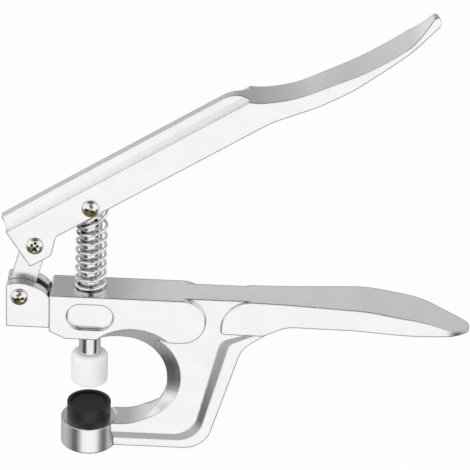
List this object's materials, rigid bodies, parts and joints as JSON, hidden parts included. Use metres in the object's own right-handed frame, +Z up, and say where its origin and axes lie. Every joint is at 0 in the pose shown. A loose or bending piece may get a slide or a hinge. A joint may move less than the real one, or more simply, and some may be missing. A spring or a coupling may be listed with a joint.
{
  "type": "snap fastener pliers",
  "caption": "Hand press for plastic snaps: C-frame with handle, long upper lever on a link, sprung plunger with a white die over a black cup die",
  "frame": {"origin": "middle of the flat under the round seat, on the plunger's axis", "axes": "+X from the plunger to the handles, +Y to the side with the nuts, +Z up along the plunger towards the lever"},
  "size_m": [0.1901, 0.0235, 0.197],
  "materials": {
    "cast_aluminium": "satin polished die casting",
    "link_metal": "satin flat bar",
    "yellow_zinc": "yellow zinc plated",
    "bright_steel": "bright plated",
    "spring_steel": "bright plated wire",
    "white_nylon": "smooth white nylon",
    "black_plastic": "satin black plastic",
    "black_rubber": "matt soft disc"
  },
  "bodies": {
    "frame": {"frame": "cast_aluminium", "clevis_screw": "yellow_zinc", "clevis_nut": "yellow_zinc", "cup_die": "black_plastic", "cup_cushion": "black_rubber", "cup_screw": "bright_steel", "spring_washer": "bright_steel", "return_spring": "spring_steel"},
    "plunger": {"plunger": "bright_steel", "upper_die": "white_nylon", "upper_die_stud": "bright_steel"},
    "lever": {"lever": "cast_aluminium", "link_screw": "yellow_zinc", "link_nut": "yellow_zinc", "plunger_screw": "yellow_zinc", "plunger_nut": "yellow_zinc"},
    "link": {"link": "link_metal"}
  },
  "joints": [
    {"name": "plunger_slide", "type": "slide", "parent": "frame", "child": "plunger", "axis": [0, 0, -1], "range_m": [0, 0.0096], "deforming": ["return_spring"]},
    {"name": "lever_hinge", "type": "hinge", "parent": "plunger", "child": "lever", "pos_m": [0, 0, 0.11215], "axis": [0, 1, 0], "range_deg": [0, 24.28], "stiffness_Nm_per_rad": 0.8, "springref_deg": -19.82},
    {"name": "link_hinge", "type": "hinge", "parent": "frame", "child": "link", "pos_m": [-0.0283, 0, 0.0703], "axis": [0, 1, 0], "range_deg": [-13.42, 0]}
  ],
  "couplings": [
    {"joint": "plunger_slide", "follows": "lever_hinge", "m_per_rad": 0.022646},
    {"joint": "link_hinge", "follows": "lever_hinge", "ratio": -0.55221}
  ]
}
